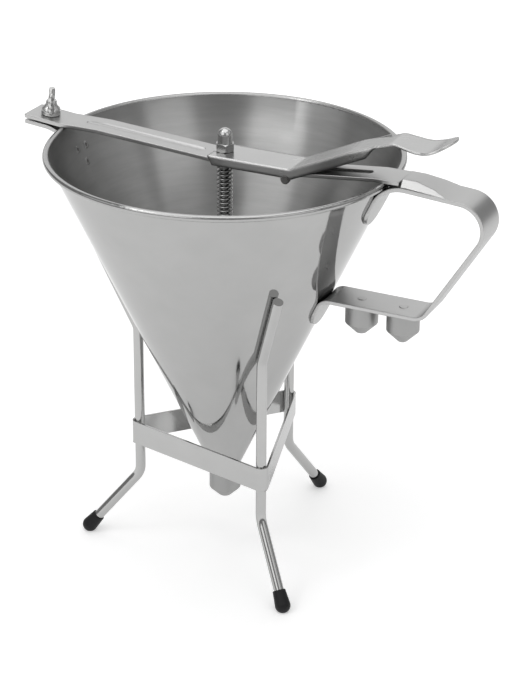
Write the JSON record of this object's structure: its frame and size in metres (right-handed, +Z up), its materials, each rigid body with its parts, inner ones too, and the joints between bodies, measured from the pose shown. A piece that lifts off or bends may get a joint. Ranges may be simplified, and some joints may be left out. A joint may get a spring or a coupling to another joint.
{
  "type": "batter dispenser",
  "caption": "Steel batter funnel with a thumb-lever piston valve, a strap handle that carries spare nozzles, and a wire stand with a triangular band.",
  "frame": {"origin": "on the table, under the middle of the object's bounding box; the funnel axis stands 16.25 mm towards -X from it", "axes": "+Z up along the funnel axis, +X towards the handle, the bridge bar and lever lie along X"},
  "size_m": [0.2644, 0.19, 0.2619],
  "materials": {
    "polished_sheet": "mirror-polished stainless sheet outside, fine circular brushing inside",
    "strap_steel": "smooth satin stainless strap",
    "turned_steel": "finely turned stainless steel",
    "rod_steel": "polished round rod",
    "bright_hardware": "bright polished",
    "spring_wire": "drawn spring wire",
    "foot_rubber": "matt black"
  },
  "bodies": {
    "stand": {"leg_left": "rod_steel", "leg_front": "rod_steel", "leg_rear": "rod_steel", "stand_band": "strap_steel", "foot_left": "foot_rubber", "foot_front": "foot_rubber", "foot_rear": "foot_rubber"},
    "funnel": {"funnel_cone": "polished_sheet", "spout": "turned_steel", "handle": "strap_steel", "nozzle_studs": "turned_steel", "clamp_bracket": "strap_steel", "clamp_stud": "bright_hardware", "bridge_bar": "strap_steel", "pivot_knuckle": "strap_steel", "pivot_pin": "bright_hardware", "spring": "spring_wire"},
    "wing": {"wing_nut": "bright_hardware"},
    "thumb_lever": {"lever": "strap_steel"},
    "piston": {"piston_rod": "bright_hardware", "acorn_nut": "bright_hardware", "spring_collar": "turned_steel", "valve_plug": "turned_steel"},
    "nozzle": {"fitted_nozzle": "turned_steel"},
    "spare_a": {"spare_nozzle_inner": "turned_steel"},
    "spare_b": {"spare_nozzle_outer": "turned_steel"}
  },
  "joints": [
    {"name": "funnel_lift", "type": "slide", "parent": "stand", "child": "funnel", "axis": [0, 0, 1], "range_m": [0, 0.16]},
    {"name": "lever_press", "type": "hinge", "parent": "funnel", "child": "thumb_lever", "pos_m": [0.02325, 0, 0.22892], "axis": [0, 1, 0], "range_deg": [0, 12], "stiffness_Nm_per_rad": 1.4, "springref_deg": -14.9},
    {"name": "piston_lift", "type": "slide", "parent": "funnel", "child": "piston", "axis": [0, 0, 1], "range_m": [0, 0.0093], "deforming": ["spring"]},
    {"name": "wing_turn", "type": "hinge", "parent": "funnel", "child": "wing", "pos_m": [-0.12125, 0, 0.23847], "axis": [0.0948, 0, 0.9955], "continuous": true},
    {"name": "nozzle_turn", "type": "hinge", "parent": "funnel", "child": "nozzle", "pos_m": [-0.01625, 0, 0.04], "axis": [0, 0, 1], "continuous": true},
    {"name": "spare_a_turn", "type": "hinge", "parent": "funnel", "child": "spare_a", "pos_m": [0.06365, 0, 0.158], "axis": [0, 0, 1], "continuous": true},
    {"name": "spare_b_turn", "type": "hinge", "parent": "funnel", "child": "spare_b", "pos_m": [0.08695, 0, 0.158], "axis": [0, 0, 1], "continuous": true}
  ],
  "couplings": [
    {"joint": "piston_lift", "follows": "lever_press", "m_per_rad": 0.0441}
  ]
}
